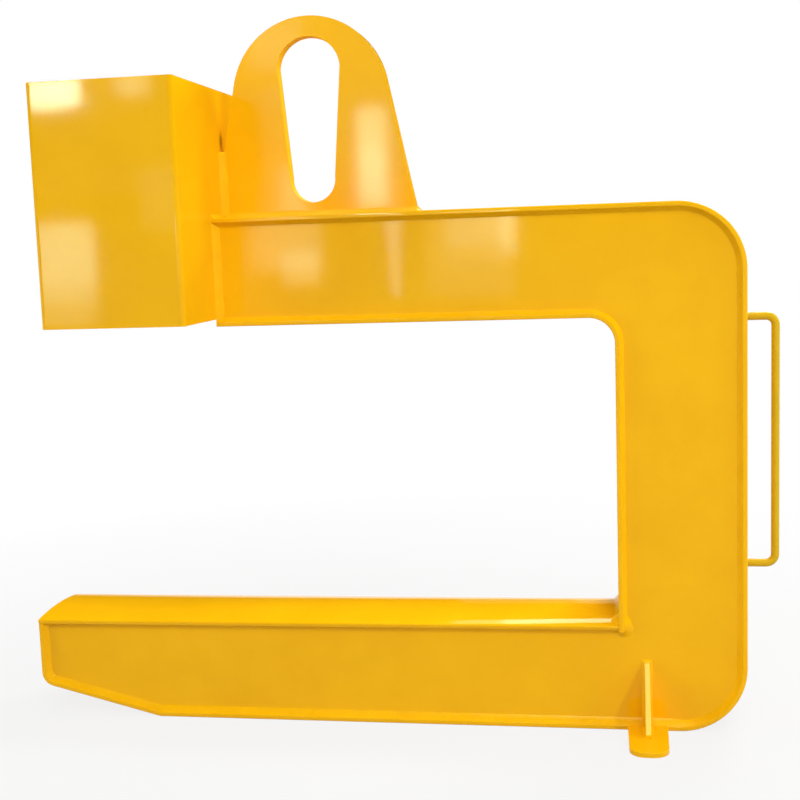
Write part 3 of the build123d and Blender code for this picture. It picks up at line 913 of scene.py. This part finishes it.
# handle beads: a ring round each leg
handleWeld = {"leg": 0.005, "stations": 40}
bm = bmesh.new()
for legZ in (legLowZ, legHighZ):
    ringRoute = []
    for index in range(handleWeld["stations"]):
        angle = 2 * math.pi * index / handleWeld["stations"]
        radial = Vector((0, math.cos(angle), math.sin(angle)))
        ringRoute.append((Vector((handleLow.x, 0, legZ)) + radial * barRadius, alongAxis, radial))
    layBead(bm, ringRoute, handleWeld["leg"], True)
finishBeads(bm, "handle_beads", "handle_welds")

# gusset beads: up the web, over the top and down again, and along the foot on both sides
gussetWeld = {"leg": 0.005}
gussetLow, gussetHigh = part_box("front_foot_gusset")
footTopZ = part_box("front_foot")[1].z
snipe = gussetLook["snipe"]
uprightCorners = [
    (Vector((gussetLow.x, footTopZ + snipe)), 0),
    (Vector((gussetLow.x, gussetHigh.z)), 0),
    (Vector((gussetHigh.x, gussetHigh.z)), 0),
    (Vector((gussetHigh.x, footTopZ + snipe)), 0),
]
uprightRoute = flatRoute(uprightCorners, weldLook["step"], False)
upright = onPlane(uprightRoute, acrossAxis * gussetHigh.y, alongAxis, upAxis, -acrossAxis)
for end, mirrored in (("front", False), ("rear", True)):
    bm = bmesh.new()
    layBead(bm, upright, gussetWeld["leg"], False)
    for faceX, outward in ((gussetLow.x, -1), (gussetHigh.x, 1)):
        start = Vector((faceX, gussetHigh.y - snipe, footTopZ))
        stop = Vector((faceX, gussetLow.y, footTopZ))
        layBead(bm, straightRoute(start, stop, alongAxis * outward, upAxis), gussetWeld["leg"], False)
    if mirrored:
        mirrorAcross(bm)
    finishBeads(bm, f"{end}_gusset_beads", f"{end}_gusset_welds")
print("small beads made")

# studio: a pale floor that fades into white
studioLook = {
    "floorRadius": 2.4,
    "floorFade": (0.9, 2.3),  # distances over which the floor turns plain white
    "floorZ": -0.0003,
    "floorSides": 96,
    "floorColour": (0.42, 0.42, 0.42, 1),
    "floorRoughness": 0.9,
    "shadowKept": 0.16,
    "centreX": 0.1,
}


def seenDirectly(tree):
    # 1 for camera, glossy and transmission rays
    path = addNode(tree, "ShaderNodeLightPath").outputs
    either = mathOf(tree, "MAXIMUM", path["Is Camera Ray"], path["Is Glossy Ray"])
    return mathOf(tree, "MAXIMUM", either, path["Is Transmission Ray"])


floorMaterial, tree, shader = newMaterial("floorPaper")
shader.inputs["Base Color"].default_value = studioLook["floorColour"]
shader.inputs["Roughness"].default_value = studioLook["floorRoughness"]
shader.inputs["Specular IOR Level"].default_value = 0.0
white = addNode(tree, "ShaderNodeEmission", {"Color": paperWhite, "Strength": 1.0})
place = addNode(tree, "ShaderNodeTexCoord").outputs["Object"]
place = vectorMathOf(tree, "SUBTRACT", place, (studioLook["centreX"], 0, 0))["Vector"]
away = vectorMathOf(tree, "LENGTH", place)["Value"]
fade = rangeOf(tree, away, *studioLook["floorFade"], 1 - studioLook["shadowKept"], 1.0)
share = mathOf(tree, "MULTIPLY", seenDirectly(tree), fade)
mix = mixShaders(tree, share, shader, white)
tree.links.new(mix.outputs[0], tree.nodes["Material Output"].inputs["Surface"])
bm = bmesh.new()
bmesh.ops.create_circle(bm, cap_ends=True, segments=studioLook["floorSides"],
                        radius=studioLook["floorRadius"],
                        matrix=Matrix.Translation((studioLook["centreX"], 0, studioLook["floorZ"])))
floorMesh = bpy.data.meshes.new("studioFloor")
bm.to_mesh(floorMesh)
bm.free()
floorMesh.materials.append(floorMaterial)
studioFloor = bpy.data.objects.new("studioFloor", floorMesh)
scene.collection.objects.link(studioFloor)

# world: white to the camera, a dim warm hall above the horizon in the gloss, even light for the rest
worldLook = {"ambient": 0.225, "hall": (0.10, 0.055, 0.008, 1), "hallRise": (-0.02, 0.07)}
world = bpy.data.worlds.new("studioWorld")
scene.world = world
world.use_nodes = True
tree = world.node_tree
ambient = tree.nodes["Background"]
ambient.inputs["Color"].default_value = paperWhite
ambient.inputs["Strength"].default_value = worldLook["ambient"]
white = addNode(tree, "ShaderNodeBackground", {"Color": paperWhite, "Strength": 1.0})
hall = addNode(tree, "ShaderNodeBackground", {"Color": worldLook["hall"], "Strength": 1.0})
heading = addNode(tree, "ShaderNodeTexCoord").outputs["Generated"]
rise = addNode(tree, "ShaderNodeSeparateXYZ", {0: heading}).outputs["Z"]
rise = rangeOf(tree, rise, *worldLook["hallRise"], 0.0, 1.0)
inGloss = addNode(tree, "ShaderNodeLightPath").outputs["Is Glossy Ray"]
backdrop = mixShaders(tree, mathOf(tree, "MULTIPLY", inGloss, rise), white, hall)
mix = mixShaders(tree, seenDirectly(tree), ambient, backdrop)
tree.links.new(mix.outputs[0], tree.nodes["World Output"].inputs["Surface"])

# soft lights: place, aim, size, radiance
lightLook = {
    "key": ((5.35, -5.04, 2.05), (0.5, 0, 0.3), (0.5, 0.5), 160.0),
    "frontHigh": ((1.0, -4.6, 5.2), (0.2, 0, 0.5), (4.0, 2.0), 8.0),
    "overhead": ((0.4, 0.4, 7.9), (0.3, 0.2, 0), (6.0, 4.0), 3.3),
    "rearTop": ((1.75, 2.6, 3.2), (0, 0, 0.3), (1.9, 1.2), 19.8),
    "rightSide": ((3.4, -0.7, 1.6), (-0.5, -0.1, 1.1), (1.0, 1.2), 9.5),
    "leftFill": ((-5.2, -1.6, 1.1), (0, 0, 0.6), (2.5, 2.0), 7.8),
}
matteLights = ("key", "frontHigh", "rightSide", "leftFill")  # kept out of the gloss
# bright panes that only the gloss shows, of a greenish glass: place, aim, size, radiance
paneColour = (0.66, 1.0, 0.74)
paneLook = {
    "gussetPane": ((0.71, -2.7, 2.48), (0.65, 0, 0.1), (0.6, 0.75), 19.0),
    "saddlePane": ((0.30, 2.665, 3.2), (0.30, 2.665, 0), (0.64, 0.53), 13.0),
    "saddleFade": ((-0.15, 2.7, 3.2), (-0.15, 2.7, 0), (0.26, 0.48), 4.5),
    "rearGlow": ((0.59, 6.0, 1.1), (0.59, 0, 1.1), (0.62, 1.6), 0.5),
    "rearDim": ((-0.11, 6.0, 1.1), (-0.11, 0, 1.1), (0.78, 1.6), 0.17),
}
# upright panes behind the camera: left, right, low and high edges and radiance
windowY = -4.5
windowGap = 0.003  # one behind the other, so that overlapping panes add up
windowLook = {
    "farTop": (-2.452, -2.152, 1.725, 1.88, 95.0),
    "farMid": (-1.95, -1.77, 1.76, 1.89, 20.0),
    "farVeil": (-2.47, -1.62, 1.25, 1.93, 1.2),
    "farPale": (-1.85, -1.63, 1.06, 1.38, 2.8),
    "farLow": (-2.476, -2.130, 0.80, 1.115, 24.0),
    "farSill": (-2.476, -2.135, 0.695, 0.80, 15.5),
    "farFoot": (-2.476, -2.140, 0.57, 0.695, 7.5),
    "lugHigh": (-1.39, -1.085, 1.93, 2.20, 7.0),
    "lugVeil": (-1.53, -0.54, 1.72, 2.25, 2.3),
    "lugEdge": (-0.92, -0.53, 1.15, 1.72, 2.3),
    "lugSide": (-1.33, -1.11, 1.15, 1.84, 3.5),
    "lugLow": (-1.25, -1.10, 1.13, 1.386, 11.0),
    "tall": (-0.798, -0.622, 1.155, 1.70, 31.0),
    "tallCore": (-0.79, -0.645, 1.235, 1.49, 8.0),
    "armPane": (-1.39, -0.99, 0.82, 1.135, 8.0),
    "armBlock": (-1.222, -1.015, 0.742, 0.93, 11.0),
    "slit": (-0.602, -0.568, 0.67, 1.135, 26.0),
    "slitTop": (-0.602, -0.568, 0.93, 1.135, 18.0),
    "nearDim": (-0.416, -0.32, 0.656, 1.154, 3.0),
    "near": (-0.32, 0.056, 0.656, 1.154, 3.5),
    "nearMid": (-0.32, 0.056, 0.82, 1.154, 2.5),
    "nearHigh": (-0.30, 0.056, 0.93, 1.154, 6.8),
    "nearEnd": (-0.02, 0.07, 0.88, 1.154, 15.5),
}


def softbox(name, place, aim, size, radiance):
    lamp = bpy.data.lights.new(name, "AREA")
    lamp.shape = "RECTANGLE"
    lamp.size, lamp.size_y = size
    lamp.energy = radiance * math.pi * size[0] * size[1]
    holder = bpy.data.objects.new(name, lamp)
    holder.location = place
    holder.rotation_euler = (Vector(aim) - Vector(place)).to_track_quat("-Z", "Y").to_euler()
    holder.visible_camera = False
    scene.collection.objects.link(holder)
    return holder


def pane(name, place, aim, size, radiance):
    holder = softbox(name, place, aim, size, radiance)
    holder.data.color = paneColour
    holder.visible_diffuse = False
    return holder


for name, (place, aim, size, radiance) in lightLook.items():
    softbox(name, place, aim, size, radiance).visible_glossy = name not in matteLights
for name, (place, aim, size, radiance) in paneLook.items():
    pane(name, place, aim, size, radiance)
windowFree = bpy.data.collections.new("windowFree")  # upper faces that the windows don't reach
for name in ("box_top", "saddle_crown"):
    windowFree.objects.link(bpy.data.objects[name])
for member in windowFree.collection_objects:
    member.light_linking.link_state = "EXCLUDE"
for index, (name, (left, right, low, high, radiance)) in enumerate(windowLook.items()):
    place = Vector(((left + right) / 2, windowY - windowGap * index, (low + high) / 2))
    holder = pane(name, place, place + acrossAxis, (right - left, high - low), radiance)
    holder.light_linking.receiver_collection = windowFree
print("studio lit")

# camera at the photograph's angle
cameraLook = {
    "place": (0.5986, -2.5727, 0.9785),
    "turn": (82.8226, 1.9673, 9.4355),  # degrees
    "lens": 57.861,
    "sensor": 36.0,
    "farClip": 200.0,
}
camera = bpy.data.cameras.new("photoCamera")
camera.lens = cameraLook["lens"]
camera.sensor_width = cameraLook["sensor"]
camera.clip_end = cameraLook["farClip"]
cameraHolder = bpy.data.objects.new("photoCamera", camera)
cameraHolder.location = cameraLook["place"]
cameraHolder.rotation_euler = [math.radians(angle) for angle in cameraLook["turn"]]
scene.collection.objects.link(cameraHolder)
scene.camera = cameraHolder
scene.view_settings.view_transform = "Standard"
print("camera set")
